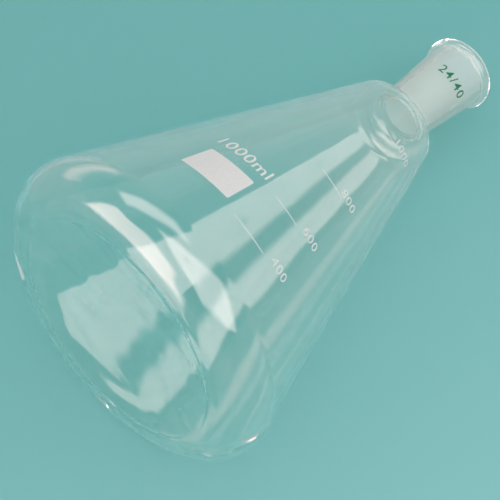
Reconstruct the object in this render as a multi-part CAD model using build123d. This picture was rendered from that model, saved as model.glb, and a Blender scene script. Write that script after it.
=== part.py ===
from build123d import *
from math import acos, atan, atan2, cos, degrees, hypot, radians, sin, sqrt
import os

# One litre conical flask with a ground socket, blown in one piece of borosilicate glass.
# It stands upright: +Z is its axis, and the origin is the centre of the ring that it stands on.
# Sections are drawn as (radius, height) on the XZ plane and turned about Z. All sizes are in millimetres.

# Body
base_diameter = 132.0  # outside, at the widest part of the heel
overall_height = 214.0  # from the foot ring to the top of the rim
wall = 2.2  # floor, cone, shoulder and throat
heel_radius = 14.0  # outside, where the floor turns up into the cone
shoulder_radius = 6.5  # outside, where the cone turns in to the neck
neck_radius = 3.6  # the hollow curve from the shoulder up into the neck

# Floor, pushed up in the middle so that the flask stands on a ring
floor_rise = 4.0  # height of the middle above the foot ring
foot_flat = 3.0  # width of the foot ring
foot_roll_radius = 5.0  # outside, from the foot ring up to the raised floor

# Ground socket: a standard 1:10 taper, 24 mm wide at its large end and 40 mm long
ground_diameter = 24.0
ground_length = 40.0
ground_taper = 1 / 10
throat_length = 1.6  # plain bore between the small end and the neck
head_wall = 3.0  # wall of the socket just under the rim

# Rim, a rolled bead
bead_radius = 2.6
bead_root_radius = 1.6  # the hollow curve under the bead


class Circle2:
    """A circle of the section, by its centre (r, z) and radius."""

    def __init__(self, r, z, radius):
        self.r, self.z, self.radius = r, z, radius

    def at(self, angle):
        """The point on the circle at an angle in degrees, 0 being outwards and 90 up."""
        return (self.r + self.radius * cos(radians(angle)), self.z + self.radius * sin(radians(angle)))

    def arc(self, start, end):
        """The arc between two angles, which runs up or down from start to end."""
        return ThreePointArc(self.at(start), self.at((start + end) / 2), self.at(end))

    def inset(self, distance):
        """The same centre with the radius changed: less for a curve that bulges outwards."""
        return Circle2(self.r, self.z, self.radius - distance)

    def angle_to(self, other):
        """The direction of another circle's centre, in degrees."""
        return degrees(atan2(other.z - self.z, other.r - self.r))


def tangent_angle(first, second, side):
    """Direction from both centres to the line that touches both circles on one side of them."""
    distance = hypot(second.r - first.r, second.z - first.z)
    return first.angle_to(second) + side * degrees(acos((first.radius - second.radius) / distance))


# Rim and bore, from the top down
bore_angle = degrees(atan(ground_taper / 2))
large_end_radius = ground_diameter / 2
small_end_radius = large_end_radius - ground_length * ground_taper / 2
bead = Circle2(
    large_end_radius + bead_radius * cos(radians(bore_angle)), overall_height - bead_radius, bead_radius
)
root_r = large_end_radius + head_wall + bead_root_radius
root_drop = sqrt((bead_radius + bead_root_radius) ** 2 - (root_r - bead.r) ** 2)
root = Circle2(root_r, bead.z - root_drop, bead_root_radius)
bore_top = bead.at(180 - bore_angle)
bore_end = (small_end_radius, bore_top[1] - ground_length)

# Neck and shoulder hang from the small end of the socket
neck = Circle2(small_end_radius + wall + neck_radius, bore_end[1] - throat_length, neck_radius)
shoulder = Circle2(neck.r, neck.z - neck_radius - shoulder_radius, shoulder_radius)

# Heel, foot ring and raised floor. The floor is part of a large ball that touches the foot roll.
heel = Circle2(base_diameter / 2 - heel_radius, heel_radius, heel_radius)
foot = Circle2(heel.r - foot_flat, foot_roll_radius, foot_roll_radius)
ball_radius = (foot.r**2 + floor_rise**2) / (2 * floor_rise) - foot_roll_radius
ball = Circle2(0, floor_rise - ball_radius, ball_radius)

cone_angle = tangent_angle(heel, shoulder, -1)
socket_angle = tangent_angle(neck, root, 1)
floor_angle = ball.angle_to(foot)
bead_angle = bead.angle_to(root)

# The inside follows the outside at one wall's distance up to the throat
inner_ball = ball.inset(-wall)
inner_foot = foot.inset(wall)
inner_heel = heel.inset(wall)
inner_shoulder = shoulder.inset(wall)
inner_neck = neck.inset(-wall)

outside = [
    ball.arc(90, floor_angle),
    foot.arc(floor_angle + 180, 270),
    Line(foot.at(270), heel.at(270)),
    heel.arc(-90, cone_angle),
    Line(heel.at(cone_angle), shoulder.at(cone_angle)),
    shoulder.arc(cone_angle, 90),
    neck.arc(270, socket_angle),
    Line(neck.at(socket_angle), root.at(socket_angle)),
    root.arc(socket_angle, bead_angle + 180),
    bead.arc(bead_angle, 180 - bore_angle),
]
inside = [
    Line(bore_top, bore_end),
    Line(bore_end, inner_neck.at(180)),
    inner_neck.arc(180, 270),
    inner_shoulder.arc(90, cone_angle),
    Line(inner_shoulder.at(cone_angle), inner_heel.at(cone_angle)),
    inner_heel.arc(cone_angle, -90),
    Line(inner_heel.at(270), inner_foot.at(270)),
    inner_foot.arc(270, floor_angle + 180),
    inner_ball.arc(floor_angle, 90),
]
axis_line = Line(inner_ball.at(90), ball.at(90))

section = make_face(Plane.XZ * Wire([*outside, *inside, axis_line]))
flask = revolve(section, Axis.Z, 360)

os.makedirs("parts", exist_ok=True)
export_step(flask, "parts/flask.step")
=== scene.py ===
"""Looks of a one litre conical flask with a ground socket, on a plain pale teal table.

The flask stands upright in its own frame, +Z being its axis. In the photograph it lies on its side, so
the camera looks at the upright flask from the same side, and the photographed table is a sheet that
touches the flask's side. A level floor carries the flask in the other views.
"""

from __future__ import annotations

import logging
import math
from dataclasses import dataclass, field
from enum import Enum
from typing import Any, Sequence

import bmesh
import bpy
from mathutils import Matrix, Vector

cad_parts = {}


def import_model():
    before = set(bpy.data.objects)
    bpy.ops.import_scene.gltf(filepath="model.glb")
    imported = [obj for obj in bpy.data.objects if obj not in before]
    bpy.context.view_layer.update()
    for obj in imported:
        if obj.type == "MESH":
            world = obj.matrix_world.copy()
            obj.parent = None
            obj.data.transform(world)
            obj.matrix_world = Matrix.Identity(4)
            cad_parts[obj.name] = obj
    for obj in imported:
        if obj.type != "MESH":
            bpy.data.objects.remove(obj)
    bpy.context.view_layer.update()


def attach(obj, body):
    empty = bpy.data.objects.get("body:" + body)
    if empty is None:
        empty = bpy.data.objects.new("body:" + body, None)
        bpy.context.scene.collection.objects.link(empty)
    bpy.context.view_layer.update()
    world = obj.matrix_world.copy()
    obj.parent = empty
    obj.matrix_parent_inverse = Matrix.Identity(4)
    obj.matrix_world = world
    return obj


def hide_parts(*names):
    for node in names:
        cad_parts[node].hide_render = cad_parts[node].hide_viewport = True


LOG = logging.getLogger("flask")
MM = 0.001
SAME_PLACE_MM = 1e-3  # points of the section closer than this are one
GLASS_BOUNCES = 40  # enough for light to pass through all the walls of glass and along them
CLEAR_BOUNCES = 32

Point = tuple[float, float]
Colour = tuple[float, float, float, float]


def srgb(code: str) -> Colour:
    """Turns an sRGB hex code into linear colour.

    Args:
        code: Six hex digits with a leading hash.

    Returns:
        Red, green, blue and alpha, in linear light.
    """
    values = [int(code[i : i + 2], 16) / 255 for i in (1, 3, 5)]
    linear = [v / 12.92 if v <= 0.04045 else ((v + 0.055) / 1.055) ** 2.4 for v in values]
    return (linear[0], linear[1], linear[2], 1.0)


def add_node(tree: bpy.types.NodeTree, kind: str, settings: dict[str, Any] | None = None,
             **inputs: Any) -> bpy.types.Node:
    """Adds one node, with its settings, and sets or links its inputs.

    Args:
        tree: Node tree that takes the node.
        kind: Blender's name of the node type.
        settings: Attributes of the node itself.
        **inputs: Socket names with _ for each space, or s0, s1 for sockets by number, each with a
            value or an output socket.

    Returns:
        The new node.
    """
    node = tree.nodes.new(kind)
    for name, value in (settings or {}).items():
        setattr(node, name, value)
    for name, value in inputs.items():
        by_number = name[0] == "s" and name[1:].isdigit()
        socket = node.inputs[int(name[1:])] if by_number else node.inputs[name.replace("_", " ")]
        if isinstance(value, bpy.types.NodeSocket):
            tree.links.new(value, socket)
        else:
            socket.default_value = value
    return node


def ray_is_any(tree: bpy.types.NodeTree, *tests: str) -> bpy.types.NodeSocket:
    """Tells whether a ray passes any of the named tests.

    Args:
        tree: Node tree that takes the nodes.
        *tests: Output names of the Light Path node.

    Returns:
        A socket with the largest of the outputs, which is 0 for a ray that passes none.
    """
    path = add_node(tree, "ShaderNodeLightPath")
    result = path.outputs[tests[0]]
    for test in tests[1:]:
        larger = add_node(tree, "ShaderNodeMath", {"operation": "MAXIMUM"}, s0=result, s1=path.outputs[test])
        result = larger.outputs[0]
    return result


def new_material(name: str) -> tuple[bpy.types.Material, bpy.types.NodeTree]:
    """Makes an empty node material.

    Args:
        name: Name of the material.

    Returns:
        The material and its cleared node tree.
    """
    material = bpy.data.materials.new(name)
    material.use_nodes = True
    material.node_tree.nodes.clear()
    return material, material.node_tree


def add_piece(name: str, mesh: bmesh.types.BMesh,
              materials: Sequence[bpy.types.Material]) -> bpy.types.Object:
    """Turns a drawn mesh into an object of the scene.

    Args:
        name: Name of the object and of its mesh.
        mesh: The drawn mesh, which is used up.
        materials: Its materials, in the order of their slots.

    Returns:
        The new object.
    """
    data = bpy.data.meshes.new(name)
    mesh.to_mesh(data)
    mesh.free()
    for material in materials:
        data.materials.append(material)
    piece = bpy.data.objects.new(name, data)
    bpy.context.scene.collection.objects.link(piece)
    return piece


@dataclass(frozen=True)
class TableFrame:
    """The photographed table, seen from the flask's frame.

    The flask touches it along one side of the cone, at the heel and at the rim.
    """

    up: Vector = field(default_factory=lambda: Vector((0.90409, -0.35249, -0.24158)))
    right: Vector = field(default_factory=lambda: Vector((0.41630, 0.59891, 0.68411)))
    away: Vector = field(default_factory=lambda: Vector((-0.09646, -0.71907, 0.68821)))
    touches: Vector = field(default_factory=lambda: Vector((-0.0611, 0.0238, 0.0174)))

    def matrix(self) -> Matrix:
        """Returns the pose of a sheet whose local +Z is up from the table."""
        turn = Matrix((self.right, self.away, self.up)).transposed()
        return Matrix.Translation(self.touches) @ turn.to_4x4()


class Finish(Enum):
    """Finish of one stretch of the flask's section, by material slot number."""

    CLEAR = 0
    GROUND = 1


@dataclass(frozen=True)
class BorosilicateGlass:
    """Borosilicate glass, blown and fire polished.

    The eye gets sharp reflections, hardly any tint, a slow ripple left by the blowing, and darker lines
    only where the wall is seen edge on.
    """

    tint: str = "#FEFFFE"
    ior: float = 1.473
    ripple_mm: float = 30.0
    ripple_depth_mm: float = 0.3
    base_ripple_mm: float = 2.2  # the pressed-up floor and the heel are less even than the cone
    base_ends_mm: tuple[float, float] = (5.0, 16.0)  # heights between which the base's ripple dies away
    shadow_face: str = "#FDFEFE"  # the shadow of the wall seen face on, and seen edge on
    shadow_edge: str = "#DDE8E4"
    shadow_blend: float = 0.35
    let_out: int = 20  # bounces after which a ray caught in the wall leaves it, so that no edge turns black

    def build(self) -> bpy.types.Material:
        """Makes the glass.

        Returns:
            The material.
        """
        material, tree = new_material("borosilicate_glass")
        where = add_node(tree, "ShaderNodeTexCoord").outputs["Object"]
        ripple = add_node(tree, "ShaderNodeTexNoise", Vector=where, Scale=1 / (self.ripple_mm * MM),
                          Detail=1.0, Roughness=0.4)
        level = add_node(tree, "ShaderNodeSeparateXYZ", Vector=where)
        low, high = self.base_ends_mm
        depth = add_node(tree, "ShaderNodeMapRange", Value=level.outputs["Z"], From_Min=low * MM,
                         From_Max=high * MM, To_Min=self.base_ripple_mm * MM,
                         To_Max=self.ripple_depth_mm * MM)
        bump = add_node(tree, "ShaderNodeBump", Strength=1.0, Distance=depth.outputs["Result"],
                        Height=ripple.outputs["Fac"])
        glass = add_node(tree, "ShaderNodeBsdfPrincipled", Base_Color=srgb(self.tint), Roughness=0.0,
                         IOR=self.ior, Transmission_Weight=1.0, Normal=bump.outputs["Normal"])
        edge = add_node(tree, "ShaderNodeLayerWeight", Blend=self.shadow_blend)
        shade = add_node(tree, "ShaderNodeMix", {"data_type": "RGBA"}, s0=edge.outputs["Facing"],
                         s6=srgb(self.shadow_face), s7=srgb(self.shadow_edge))
        shadow = add_node(tree, "ShaderNodeBsdfTransparent", Color=shade.outputs[2])
        open_air = add_node(tree, "ShaderNodeBsdfTransparent")
        caught = add_node(tree, "ShaderNodeMath", {"operation": "GREATER_THAN"},
                          s0=ray_is_any(tree, "Ray Depth"), s1=float(self.let_out))
        passes = add_node(tree, "ShaderNodeMath", {"operation": "MAXIMUM"}, s0=caught.outputs[0],
                          s1=ray_is_any(tree, "Is Shadow Ray", "Is Diffuse Ray"))
        way_out = add_node(tree, "ShaderNodeMixShader", s0=caught.outputs[0], s1=shadow.outputs[0],
                           s2=open_air.outputs[0])
        mix = add_node(tree, "ShaderNodeMixShader", s0=passes.outputs[0], s1=glass.outputs[0],
                       s2=way_out.outputs[0])
        add_node(tree, "ShaderNodeOutputMaterial", Surface=mix.outputs[0])
        return material


@dataclass(frozen=True)
class GroundGlass:
    """Borosilicate glass, finely ground, in the bore of the socket.

    The eye gets a pale, milky frost that blurs what is behind it.
    """

    tint: str = "#EEF4F1"
    shadow: str = "#E6ECE9"
    ior: float = 1.473
    transmission: float = 0.72
    smoothest: float = 0.42
    roughest: float = 0.62
    grain_mm: float = 0.35  # coarser than the real grit, which is too fine to show
    grain_depth_mm: float = 0.02

    def build(self) -> bpy.types.Material:
        """Makes the frosted glass.

        Returns:
            The material.
        """
        material, tree = new_material("ground_glass")
        where = add_node(tree, "ShaderNodeTexCoord").outputs["Object"]
        grain = add_node(tree, "ShaderNodeTexNoise", Vector=where, Scale=1 / (self.grain_mm * MM),
                         Detail=3.0, Roughness=0.6)
        rough = add_node(tree, "ShaderNodeMapRange", Value=grain.outputs["Fac"], To_Min=self.smoothest,
                         To_Max=self.roughest)
        bump = add_node(tree, "ShaderNodeBump", Strength=0.6, Distance=self.grain_depth_mm * MM,
                        Height=grain.outputs["Fac"])
        frost = add_node(tree, "ShaderNodeBsdfPrincipled", Base_Color=srgb(self.tint), IOR=self.ior,
                         Roughness=rough.outputs["Result"], Transmission_Weight=self.transmission,
                         Normal=bump.outputs["Normal"])
        shadow = add_node(tree, "ShaderNodeBsdfTransparent", Color=srgb(self.shadow))
        mix = add_node(tree, "ShaderNodeMixShader", s0=ray_is_any(tree, "Is Shadow Ray", "Is Diffuse Ray"),
                       s1=frost.outputs[0], s2=shadow.outputs[0])
        add_node(tree, "ShaderNodeOutputMaterial", Surface=mix.outputs[0])
        return material


@dataclass(frozen=True)
class Bend:
    """One rounded turn of the wall: its centre and its radius on the flask's outside, in millimetres."""

    r: float
    z: float
    radius: float

    def sweep(self, start: float, end: float, steps: int, grow: float = 0.0) -> list[Point]:
        """Draws the turn as an arc.

        Args:
            start: Degrees of its first point, from straight outwards towards straight up.
            end: Degrees of its last point.
            steps: Straight stretches between the two.
            grow: Millimetres added to the radius, which lead to the wall's inside.

        Returns:
            The arc's points, both ends included.
        """
        radius = self.radius + grow
        points = []
        for i in range(steps + 1):
            a = math.radians(start + (end - start) * i / steps)
            points.append((self.r + radius * math.cos(a), self.z + radius * math.sin(a)))
        return points


@dataclass
class FlaskBody:
    """The blown flask, as a fine lathe mesh of the same section as the solid.

    Lengths are in millimetres. Angles are in degrees, from straight outwards towards straight up.
    """

    floor: Bend = Bend(0.0, -293.125, 297.125)
    foot: Bend = Bend(49.0, 5.0, 5.0)
    heel: Bend = Bend(52.0, 14.0, 14.0)
    shoulder: Bend = Bend(15.8, 159.83, 6.5)
    neck: Bend = Bend(15.8, 169.93, 3.6)
    bead_root: Bend = Bend(16.6, 207.709, 1.6)
    bead: Bend = Bend(14.597, 211.4, 2.6)
    wall: float = 2.2
    bore_end: Point = (10.0, 171.53)
    floor_angle: float = 80.667  # where the raised floor runs into the roll of the foot
    cone_angle: float = 16.802  # square to the cone
    socket_angle: float = 175.75  # square to the socket's outside
    bead_angle: float = -61.5  # where the bead's root runs into the bead
    lip_angle: float = 177.138  # where the bead ends at the bore
    segments: int = 400
    bore_rings: int = 8
    ground_lip: int = 4  # stretches of the bead's inner edge that were ground along with the bore

    def outside(self) -> list[Point]:
        """Draws the outer line of the section.

        Returns:
            Its points, from the middle of the floor up to the bore.
        """
        turns = (
            self.floor.sweep(90, self.floor_angle, 10),
            self.foot.sweep(self.floor_angle + 180, 270, 10),
            self.heel.sweep(-90, self.cone_angle, 34),
            self.shoulder.sweep(self.cone_angle, 90, 16),
            self.neck.sweep(270, self.socket_angle, 12),
            self.bead_root.sweep(self.socket_angle, self.bead_angle + 180, 8),
            self.bead.sweep(self.bead_angle, self.lip_angle, 22),
        )
        return [p for turn in turns for p in turn]

    def inside(self) -> list[Point]:
        """Draws the inner line of the section, one wall in from the outer line.

        Returns:
            Its points, from the bore's small end down to the middle of the floor.
        """
        turns = (
            self.neck.sweep(180, 270, 12, self.wall),
            self.shoulder.sweep(90, self.cone_angle, 14, -self.wall),
            self.heel.sweep(self.cone_angle, -90, 32, -self.wall),
            self.foot.sweep(270, self.floor_angle + 180, 8, -self.wall),
            self.floor.sweep(self.floor_angle, 90, 10, self.wall),
        )
        return [p for turn in turns for p in turn]

    def section(self) -> tuple[list[Point], set[int]]:
        """Joins the lines of the section.

        Returns:
            The points, without doubles, and the numbers of the stretches that are ground.
        """
        points: list[Point] = []
        for p in self.outside():
            if not points or math.dist(p, points[-1]) > SAME_PLACE_MM:
                points.append(p)
        first_ground = len(points) - 1 - self.ground_lip
        (r, z), (end_r, end_z) = points[-1], self.bore_end
        for i in range(1, self.bore_rings + 1):
            t = i / self.bore_rings
            points.append((r + (end_r - r) * t, z + (end_z - z) * t))
        ground = set(range(first_ground, len(points) - 1))
        for p in self.inside():
            if math.dist(p, points[-1]) > SAME_PLACE_MM:
                points.append(p)
        return points, ground

    def build(self, materials: Sequence[bpy.types.Material]) -> bpy.types.Object:
        """Turns the section about the axis.

        Args:
            materials: Clear and ground glass, in the order of Finish.

        Returns:
            The flask, standing in for the CAD node.
        """
        points, ground = self.section()
        turn = [2 * math.pi * k / self.segments for k in range(self.segments)]
        mesh = bmesh.new()
        rings: list[list[bmesh.types.BMVert]] = []
        for r, z in points:
            if r < SAME_PLACE_MM:
                rings.append([mesh.verts.new((0.0, 0.0, z * MM))])
            else:
                rings.append([mesh.verts.new((r * math.cos(a) * MM, r * math.sin(a) * MM, z * MM))
                              for a in turn])
        for number, (low, high) in enumerate(zip(rings, rings[1:])):
            finish = Finish.GROUND if number in ground else Finish.CLEAR
            for k in range(self.segments):
                n = (k + 1) % self.segments
                if len(low) == 1:
                    corners = [low[0], high[n], high[k]]
                elif len(high) == 1:
                    corners = [low[k], low[n], high[0]]
                else:
                    corners = [low[k], low[n], high[n], high[k]]
                face = mesh.faces.new(corners)
                face.smooth = True
                face.material_index = finish.value
        piece = add_piece("blown_flask", mesh, materials)
        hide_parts("flask")
        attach(piece, "root")
        return piece


class Ink(Enum):
    """Enamel of a printed mark, by the name that its material is called after."""

    WHITE = "white_enamel"
    GREEN = "green_enamel"


@dataclass(frozen=True)
class FiredEnamel:
    """Enamel, screen printed on the glass and fired.

    The eye gets flat, dense colour with a slight sheen and a faintly uneven coat.
    """

    ink: Ink
    colour: str
    thin_colour: str
    roughness: float = 0.38
    grain_mm: float = 1.2  # spacing of the thicker and thinner spots, as a screen leaves them
    grain_depth_mm: float = 0.01
    thin_from: float = 0.35  # stretch of the noise over which the thin colour comes in
    thin_to: float = 0.65

    def build(self) -> bpy.types.Material:
        """Makes the enamel.

        Returns:
            The material.
        """
        material, tree = new_material(f"fired_{self.ink.value}")
        where = add_node(tree, "ShaderNodeTexCoord").outputs["Object"]
        coat = add_node(tree, "ShaderNodeTexNoise", Vector=where, Scale=1 / (self.grain_mm * MM), Detail=3.0)
        spread = add_node(tree, "ShaderNodeMapRange", Value=coat.outputs["Fac"], From_Min=self.thin_from,
                          From_Max=self.thin_to)
        colour = add_node(tree, "ShaderNodeMix", {"data_type": "RGBA"}, s0=spread.outputs["Result"],
                          s6=srgb(self.colour), s7=srgb(self.thin_colour))
        bump = add_node(tree, "ShaderNodeBump", Strength=0.15, Distance=self.grain_depth_mm * MM,
                        Height=coat.outputs["Fac"])
        enamel = add_node(tree, "ShaderNodeBsdfPrincipled", Base_Color=colour.outputs[2],
                          Roughness=self.roughness, Normal=bump.outputs["Normal"])
        add_node(tree, "ShaderNodeOutputMaterial", Surface=enamel.outputs[0])
        return material


@dataclass(frozen=True)
class Wall:
    """An outer wall of the flask that carries print: its radius at one height, and its lean."""

    radius: float
    height: float
    lean: float  # degrees that the wall leans in towards the axis
    proud: float = 0.04  # print's height over the glass, in millimetres

    def place(self, along: float, up: float, azimuth: float) -> Vector:
        """Lays a point of the flat artwork on the wall.

        Args:
            along: Millimetres along the wall from the azimuth, counter-clockwise seen from above.
            up: Millimetres up the wall's slope from the height.
            azimuth: Degrees from +X.

        Returns:
            The point, in metres.
        """
        lean = math.radians(self.lean)
        r = self.radius - up * math.sin(lean)
        z = self.height + up * math.cos(lean) + self.proud * math.sin(lean)
        a = math.radians(azimuth) + along / self.radius
        r += self.proud * math.cos(lean)
        return Vector((r * math.cos(a), r * math.sin(a), z)) * MM


@dataclass
class Print:
    """One printed mark: flat artwork wrapped on the glass, with sizes in millimetres."""

    name: str
    ink: Ink
    wall: Wall
    azimuth: float
    cell: float = 0.9  # longest edge of the wrapped mesh
    halvings: int = 6  # most times that the long edges are cut in two

    def artwork(self) -> bmesh.types.BMesh:
        """Returns the flat artwork, in millimetres, x along the wall and y up it."""
        raise NotImplementedError

    def build(self, material: bpy.types.Material) -> bpy.types.Object:
        """Wraps the artwork on the wall.

        Args:
            material: The enamel.

        Returns:
            The mark, riding on the flask.
        """
        flat = self.artwork()
        bmesh.ops.triangulate(flat, faces=flat.faces[:])
        for _ in range(self.halvings):
            long_edges = [e for e in flat.edges if e.calc_length() > self.cell]
            if not long_edges:
                break
            bmesh.ops.subdivide_edges(flat, edges=long_edges, cuts=1)
            bmesh.ops.triangulate(flat, faces=flat.faces[:])
        for v in flat.verts:
            v.co = self.wall.place(v.co.x, v.co.y, self.azimuth)
        for face in flat.faces:
            face.smooth = True
            face.normal_update()
            middle = face.calc_center_median()
            if face.normal.dot(Vector((middle.x, middle.y, 0))) < 0:
                face.normal_flip()
        piece = add_piece(self.name, flat, [material])
        piece.data.validate()  # clears the faulty faces that a filled figure can leave
        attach(piece, "root")
        return piece


@dataclass
class Patch(Print):
    """A filled panel with rounded corners, for writing on with a pencil."""

    width: float = 22.0
    height: float = 17.0
    corner: float = 0.8
    corner_steps: int = 4

    def artwork(self) -> bmesh.types.BMesh:
        """Draws the panel.

        Returns:
            One flat face with rounded corners.
        """
        mesh = bmesh.new()
        x, y, c = self.width / 2 - self.corner, self.height / 2 - self.corner, self.corner
        ring = []
        for cx, cy, start in ((x, y, 0), (-x, y, 90), (-x, -y, 180), (x, -y, 270)):
            for i in range(self.corner_steps + 1):
                a = math.radians(start + 90 * i / self.corner_steps)
                ring.append(mesh.verts.new((cx + c * math.cos(a), cy + c * math.sin(a), 0)))
        mesh.faces.new(ring)
        return mesh


@dataclass
class Rule(Print):
    """A graduation line round part of the flask."""

    length: float = 10.0
    thickness: float = 0.36

    def artwork(self) -> bmesh.types.BMesh:
        """Draws the line.

        Returns:
            A row of faces, each short enough to follow the wall.
        """
        mesh = bmesh.new()
        steps = max(2, math.ceil(self.length / self.cell))
        rows = []
        for i in range(steps + 1):
            x = self.length * (i / steps - 0.5)
            rows.append([mesh.verts.new((x, s * self.thickness / 2, 0)) for s in (-1, 1)])
        for (a, b), (c, d) in zip(rows, rows[1:]):
            mesh.faces.new((a, c, d, b))
        return mesh


@dataclass
class Lettering(Print):
    """Plain figures in a plain face."""

    text: str = ""
    size: float = 5.0
    spacing: float = 1.1
    weight: float = 0.0  # how far the strokes grow on each side
    curve_steps: int = 4
    same_point: float = 1e-4  # outline points closer than this are one

    def artwork(self) -> bmesh.types.BMesh:
        """Draws the figures in Blender's own plain face.

        Returns:
            Their filled outlines.
        """
        curve = bpy.data.curves.new(self.name, "FONT")
        curve.body = self.text
        curve.size = self.size
        curve.space_character = self.spacing
        curve.align_x = "CENTER"
        curve.align_y = "CENTER"
        curve.offset = self.weight
        curve.resolution_u = self.curve_steps
        holder = bpy.data.objects.new(self.name, curve)
        bpy.context.scene.collection.objects.link(holder)
        shaped = holder.evaluated_get(bpy.context.evaluated_depsgraph_get())
        data = bpy.data.meshes.new_from_object(shaped)
        mesh = bmesh.new()
        mesh.from_mesh(data)
        bpy.data.objects.remove(holder)
        bpy.data.curves.remove(curve)
        bpy.data.meshes.remove(data)
        bmesh.ops.remove_doubles(mesh, verts=mesh.verts[:], dist=self.same_point)
        return mesh


@dataclass(frozen=True)
class Graduation:
    """One step of the volume scale: a line, and the figures near it."""

    volume: int
    height: float
    azimuth: float
    length: float
    figures_azimuth: float


@dataclass
class PrintedMarks:
    """The marks on the cone and the size of the joint on the socket, in millimetres and degrees."""

    lean: float = 16.802
    foot_radius: float = 70.831  # of the cone's straight side, carried on down to height 0
    socket: Wall = Wall(14.25, 194.6, -4.25)
    scale: tuple[Graduation, ...] = (
        Graduation(400, 37.2, 1.0, 16.6, 17.6),
        Graduation(600, 59.8, 2.8, 12.6, 18.3),
        Graduation(800, 89.8, 6.8, 13.6, 19.3),
        Graduation(1000, 136.0, 0.3, 14.3, 25.5),
    )
    figures_rise: float = 3.0  # of the figures' middle over their line
    figures_size: float = 6.0
    figures_spacing: float = 1.12

    def cone(self, height: float) -> Wall:
        """Returns the cone's outer wall at a height in millimetres."""
        return Wall(self.foot_radius - math.tan(math.radians(self.lean)) * height, height, self.lean)

    def design(self) -> list[Print]:
        """Lists the marks, placed as on the real flask.

        Returns:
            The marks, from the panel to the size of the joint.
        """
        white, green = Ink.WHITE, Ink.GREEN
        marks: list[Print] = [
            Patch("marking_panel", white, self.cone(48.0), -24.8, width=22.6, height=16.6),
            Lettering("capacity_mark", white, self.cone(63.9), -26.3, text="1000ml", size=8.4,
                      spacing=1.08, weight=0.06),
        ]
        for step in self.scale:
            over = self.cone(step.height + self.figures_rise)
            marks.append(Rule(f"line_{step.volume}", white, self.cone(step.height), step.azimuth,
                              length=step.length))
            marks.append(Lettering(f"figures_{step.volume}", white, over, step.figures_azimuth,
                                   text=str(step.volume), size=self.figures_size,
                                   spacing=self.figures_spacing))
        marks.append(Lettering("joint_size", green, self.socket, 5.0, text="24/40", size=6.6,
                               spacing=1.16, weight=0.015))
        return marks

    def build(self) -> list[bpy.types.Object]:
        """Makes every mark in its enamel.

        Returns:
            The marks.
        """
        enamels = {
            Ink.WHITE: FiredEnamel(Ink.WHITE, "#DEDCDA", "#DAD8D6").build(),
            Ink.GREEN: FiredEnamel(Ink.GREEN, "#127A52", "#0D6A48").build(),
        }
        return [mark.build(enamels[mark.ink]) for mark in self.design()]


@dataclass(frozen=True)
class PaintedSheet:
    """Board with a smooth coat of pale teal paint, which shows from its upper side only.

    The eye gets one matt colour with a painted fall of light, lighter on the near side and darker on the far
    side, and soft shadows. Reflections see a painted pale glow on it far from the flask.
    """

    name: str
    # painted light and shade: the sheet is lighter near and darker far, as the light falls off across the
    # table
    near_colour: str = "#8CC4C3"
    far_colour: str = "#70B2B0"
    towards_near: tuple[float, float, float] = (0.45, -0.89, 0.0)
    turns_near_m: tuple[float, float] = (-0.1, 0.22)  # where the painted shade of the far side ends and the painted light of the near side begins
    mirror_hides: bool = False  # no reflection, shadow or bounced light comes from the sheet
    evenness: float = 0.0  # share that the lens sees as the plain colour, whatever light falls on it
    mirrored_glow: float = 0.0  # share of the glow that reflections see far from the flask
    glow_colour: str = "#F6E6E4"
    glow_grows_m: tuple[float, float] = (0.1, 0.34)  # distances from the sheet's middle
    roughness: float = 0.75
    specular: float = 0.1

    def build(self) -> bpy.types.Material:
        """Makes the paint.

        Returns:
            The material.
        """
        material, tree = new_material(self.name)
        where = add_node(tree, "ShaderNodeTexCoord").outputs["Object"]
        across = add_node(tree, "ShaderNodeVectorMath", {"operation": "DOT_PRODUCT"}, s0=where,
                          s1=self.towards_near)
        # painted fall of light: the shaded far colour turns into the lit near colour
        slow = add_node(tree, "ShaderNodeMapRange", Value=across.outputs["Value"],
                        From_Min=self.turns_near_m[0], From_Max=self.turns_near_m[1])
        tone = add_node(tree, "ShaderNodeMix", {"data_type": "RGBA"}, s0=slow.outputs["Result"],
                        s6=srgb(self.far_colour), s7=srgb(self.near_colour))
        paint = add_node(tree, "ShaderNodeBsdfPrincipled", Base_Color=tone.outputs[2],
                         Roughness=self.roughness, Specular_IOR_Level=self.specular)
        plain = add_node(tree, "ShaderNodeEmission", Color=tone.outputs[2], Strength=1.0)
        share = add_node(tree, "ShaderNodeMath", {"operation": "MULTIPLY"},
                         s0=ray_is_any(tree, "Is Camera Ray", "Is Transmission Ray"), s1=self.evenness)
        even = add_node(tree, "ShaderNodeMixShader", s0=share.outputs[0], s1=paint.outputs[0],
                        s2=plain.outputs[0])
        reach = add_node(tree, "ShaderNodeVectorMath", {"operation": "LENGTH"}, s0=where)
        far = add_node(tree, "ShaderNodeMapRange", Value=reach.outputs["Value"],
                       From_Min=self.glow_grows_m[0], From_Max=self.glow_grows_m[1],
                       To_Max=self.mirrored_glow)
        part = add_node(tree, "ShaderNodeMath", {"operation": "MULTIPLY"}, s0=far.outputs["Result"],
                        s1=ray_is_any(tree, "Is Glossy Ray"))
        glow = add_node(tree, "ShaderNodeEmission", Color=srgb(self.glow_colour), Strength=1.0)
        shown = add_node(tree, "ShaderNodeMixShader", s0=part.outputs[0], s1=even.outputs[0],
                         s2=glow.outputs[0])
        clear = add_node(tree, "ShaderNodeBsdfTransparent")
        hidden = add_node(tree, "ShaderNodeNewGeometry").outputs["Backfacing"]
        if self.mirror_hides:
            rays = ray_is_any(tree, "Glossy Depth", "Is Shadow Ray", "Is Diffuse Ray")
            either = add_node(tree, "ShaderNodeMath", {"operation": "MAXIMUM", "use_clamp": True},
                              s0=hidden, s1=rays)
            hidden = either.outputs[0]
        mix = add_node(tree, "ShaderNodeMixShader", s0=hidden, s1=shown.outputs[0], s2=clear.outputs[0])
        add_node(tree, "ShaderNodeOutputMaterial", Surface=mix.outputs[0])
        return material


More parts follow.
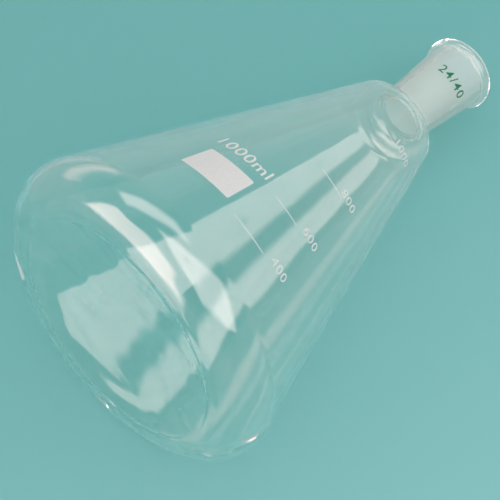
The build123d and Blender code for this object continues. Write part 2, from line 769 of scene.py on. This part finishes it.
@dataclass(frozen=True)
class Lamp:
    """A flat soft lamp over the photographed table, in metres.

    Its place is given to the right, away and up from the flask.
    """

    name: str
    right: float
    away: float
    height: float
    length: float
    width: float
    radiance: float
    colour: str = "#FFFFFF"
    faces_flask: bool = False  # otherwise it faces the table
    mirrored: bool = True  # whether the glass shows it
    lights_matt: bool = True  # whether it lights the table, the floor and the print
    edge: float = 0.16  # width of the fading edge, half of it past the length and width

    def soften(self, light: bpy.types.Light) -> None:
        """Lets the lamp fade towards its edges, as a softbox does.

        Args:
            light: The lamp's data.
        """
        light.use_nodes = True
        tree = light.node_tree
        tree.nodes.clear()
        place = add_node(tree, "ShaderNodeNewGeometry").outputs["Parametric"]
        split = add_node(tree, "ShaderNodeSeparateXYZ", Vector=place)
        middle = 0.5  # of the lamp's own coordinates, which run from 0 to 1
        fades = []
        for axis, side in (("X", self.length), ("Y", self.width)):
            off = add_node(tree, "ShaderNodeMath", {"operation": "SUBTRACT"}, s0=split.outputs[axis],
                           s1=middle)
            distance = add_node(tree, "ShaderNodeMath", {"operation": "ABSOLUTE"}, s0=off.outputs[0])
            fade = add_node(tree, "ShaderNodeMapRange", {"interpolation_type": "SMOOTHSTEP"},
                            Value=distance.outputs[0], From_Min=middle,
                            From_Max=middle - self.edge / (side + self.edge))
            fades.append(fade.outputs["Result"])
        both = add_node(tree, "ShaderNodeMath", {"operation": "MULTIPLY"}, s0=fades[0], s1=fades[1])
        glow = add_node(tree, "ShaderNodeEmission", Strength=both.outputs[0])
        add_node(tree, "ShaderNodeOutputLight", Surface=glow.outputs[0])

    def build(self, table: TableFrame, aim: Vector) -> bpy.types.Object:
        """Makes the lamp.

        Args:
            table: Frame of the photographed table.
            aim: Point of the flask that the places are measured from.

        Returns:
            The lamp.
        """
        light = bpy.data.lights.new(self.name, "AREA")
        light.shape = "RECTANGLE"
        light.size, light.size_y = self.length + self.edge, self.width + self.edge
        light.color = srgb(self.colour)[:3]
        light.energy = self.radiance * math.pi * light.size * light.size_y
        self.soften(light)
        lamp = bpy.data.objects.new(self.name, light)
        offset = table.right * self.right + table.away * self.away + table.up * self.height
        back = offset.normalized() if self.faces_flask else table.up
        side = table.up.cross(back).normalized() if self.faces_flask else table.right
        turn = Matrix((side, back.cross(side), back)).transposed()
        lamp.matrix_world = Matrix.Translation(aim + offset) @ turn.to_4x4()
        lamp.visible_camera = False
        lamp.visible_glossy = self.mirrored
        lamp.visible_transmission = self.mirrored
        lamp.visible_diffuse = self.lights_matt
        bpy.context.scene.collection.objects.link(lamp)
        return lamp


@dataclass(frozen=True)
class SoftRoom:
    """Even light of a pale room, and the ground that the lens and the glass see beyond the sheets."""

    light: str = "#F4F8F8"
    strength: float = 0.26
    seen: str = "#80BAB8"
    mirrored_low: str = "#E6E4E2"
    mirrored_high: str = "#93B4B3"
    fades: tuple[float, float] = (0.05, 0.45)  # sines of the angle over the table, from low to high

    def build(self, up: Vector) -> None:
        """Makes the room and hands it to the scene.

        Args:
            up: Direction up from the photographed table.
        """
        world = bpy.data.worlds.new("soft_room")
        bpy.context.scene.world = world
        world.use_nodes = True
        tree = world.node_tree
        tree.nodes.clear()
        light = add_node(tree, "ShaderNodeBackground", Color=srgb(self.light), Strength=self.strength)
        seen = add_node(tree, "ShaderNodeBackground", Color=srgb(self.seen), Strength=1.0)
        towards = add_node(tree, "ShaderNodeTexCoord").outputs["Generated"]
        height = add_node(tree, "ShaderNodeVectorMath", {"operation": "DOT_PRODUCT"}, s0=towards,
                          s1=tuple(up))
        fade = add_node(tree, "ShaderNodeMapRange", Value=height.outputs["Value"],
                        From_Min=self.fades[0], From_Max=self.fades[1])
        walls = add_node(tree, "ShaderNodeMix", {"data_type": "RGBA"}, s0=fade.outputs["Result"],
                         s6=srgb(self.mirrored_low), s7=srgb(self.mirrored_high))
        dim = add_node(tree, "ShaderNodeBackground", Color=walls.outputs[2], Strength=1.0)
        mirrored = add_node(tree, "ShaderNodeMixShader", s0=ray_is_any(tree, "Is Glossy Ray"),
                            s1=light.outputs[0], s2=dim.outputs[0])
        mix = add_node(tree, "ShaderNodeMixShader",
                       s0=ray_is_any(tree, "Is Camera Ray", "Is Transmission Ray"),
                       s1=mirrored.outputs[0], s2=seen.outputs[0])
        add_node(tree, "ShaderNodeOutputWorld", Surface=mix.outputs[0])


@dataclass
class Studio:
    """Table, floor, soft lamps and the even room light."""

    table: TableFrame
    aim: Vector = field(default_factory=lambda: Vector((0.0, 0.0, 0.085)))
    half_sheet_m: float = 6.0
    floor_drop_mm: float = 0.5  # keeps the floor clear of the flask's foot
    floor_colour: str = "#82BDBB"
    glow: str = "#FFC6C0"  # of the lamps that only the glass shows

    def sheet(self, name: str, material: bpy.types.Material, pose: Matrix) -> None:
        """Adds one large flat sheet to the stage.

        Args:
            name: Name of the sheet.
            material: Its material.
            pose: Its place, with local +Z out of its upper side.
        """
        mesh = bmesh.new()
        bmesh.ops.create_grid(mesh, x_segments=1, y_segments=1, size=self.half_sheet_m)
        sheet = add_piece(name, mesh, [material])
        sheet.matrix_world = pose

    def lamps(self) -> tuple[Lamp, ...]:
        """Lists the lamps, by name, right, away, height, length, width, radiance and colour.

        A glow adds light for the glass alone, and hangs a millimetre nearer than the lamp it goes with.

        Returns:
            The lamps, beginning with the two panels over the table.
        """
        glow = self.glow
        return (
            Lamp("near_panel", 0.52, -0.80, 1.0, 1.66, 1.56, 1.8),
            Lamp("far_panel", -0.1, 0.57, 1.0, 1.2, 0.54, 1.8),
            Lamp("near_glow", 0.52, -0.80, 0.999, 1.66, 1.56, 2.35, glow, lights_matt=False),
            Lamp("far_glow", -0.1, 0.57, 0.999, 1.2, 0.54, 2.4, glow, lights_matt=False),
            Lamp("side_lamp", -1.13, -0.49, 0.42, 1.1, 1.15, 1.4, faces_flask=True),
            Lamp("side_glow", -1.129, -0.489, 0.42, 1.1, 1.15, 4.4, glow, faces_flask=True,
                 lights_matt=False),
            Lamp("back_strip", -0.80, 1.15, 0.12, 1.5, 0.34, 1.5, glow, faces_flask=True,
                 lights_matt=False),
            Lamp("floor_lamp", 0.99, 0.87, 0.25, 0.9, 0.9, 1.9, faces_flask=True, mirrored=False),
        )

    def build(self) -> None:
        """Builds the table, the floor, the room light and the lamps."""
        table_paint = PaintedSheet("painted_table", mirrored_glow=0.4).build()
        floor_paint = PaintedSheet("painted_floor", self.floor_colour, self.floor_colour,
                                   mirror_hides=True, evenness=0.75).build()
        self.sheet("photographed_table", table_paint, self.table.matrix())
        self.sheet("level_floor", floor_paint, Matrix.Translation((0.0, 0.0, -self.floor_drop_mm * MM)))
        SoftRoom().build(self.table.up)
        for lamp in self.lamps():
            lamp.build(self.table, self.aim)


@dataclass(frozen=True)
class PhotographCamera:
    """The camera at the photograph's viewing angle, in metres and in the flask's frame."""

    place: tuple[float, float, float] = (0.476708, 0.0, -0.215166)
    right: tuple[float, float, float] = (0.4160409, 0.5990088, 0.6841772)
    up: tuple[float, float, float] = (0.2983751, -0.8006523, 0.5195461)
    back: tuple[float, float, float] = (0.8590007, -0.0120110, -0.5118334)
    lens_mm: float = 100.31
    sensor_mm: float = 36.0
    nearest: float = 0.01
    farthest: float = 50.0

    def build(self) -> None:
        """Makes the camera and hands it to the scene."""
        data = bpy.data.cameras.new("photograph")
        data.lens, data.sensor_width, data.sensor_fit = self.lens_mm, self.sensor_mm, "AUTO"
        data.clip_start, data.clip_end = self.nearest, self.farthest
        camera = bpy.data.objects.new("photograph", data)
        turn = Matrix((self.right, self.up, self.back)).transposed()
        camera.matrix_world = Matrix.Translation(self.place) @ turn.to_4x4()
        bpy.context.scene.collection.objects.link(camera)
        bpy.context.scene.camera = camera


def set_up_picture() -> None:
    """Sets plain colour and enough bounces for light to pass through all the walls of glass."""
    scene = bpy.context.scene
    scene.view_settings.view_transform = "Standard"
    scene.cycles.max_bounces = GLASS_BOUNCES
    scene.cycles.transmission_bounces = GLASS_BOUNCES
    scene.cycles.glossy_bounces = GLASS_BOUNCES
    scene.cycles.transparent_max_bounces = CLEAR_BOUNCES


def main() -> None:
    """Builds the scene in order, and reports each piece."""
    logging.basicConfig(level=logging.INFO, format="%(name)s: %(message)s")
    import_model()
    set_up_picture()
    glass = [BorosilicateGlass().build(), GroundGlass().build()]
    pieces = [FlaskBody().build(glass), *PrintedMarks().build()]
    for piece in pieces:
        LOG.info("%s: %d faces", piece.name, len(piece.data.polygons))
    Studio(TableFrame()).build()
    PhotographCamera().build()


if __name__ == "__main__":
    main()
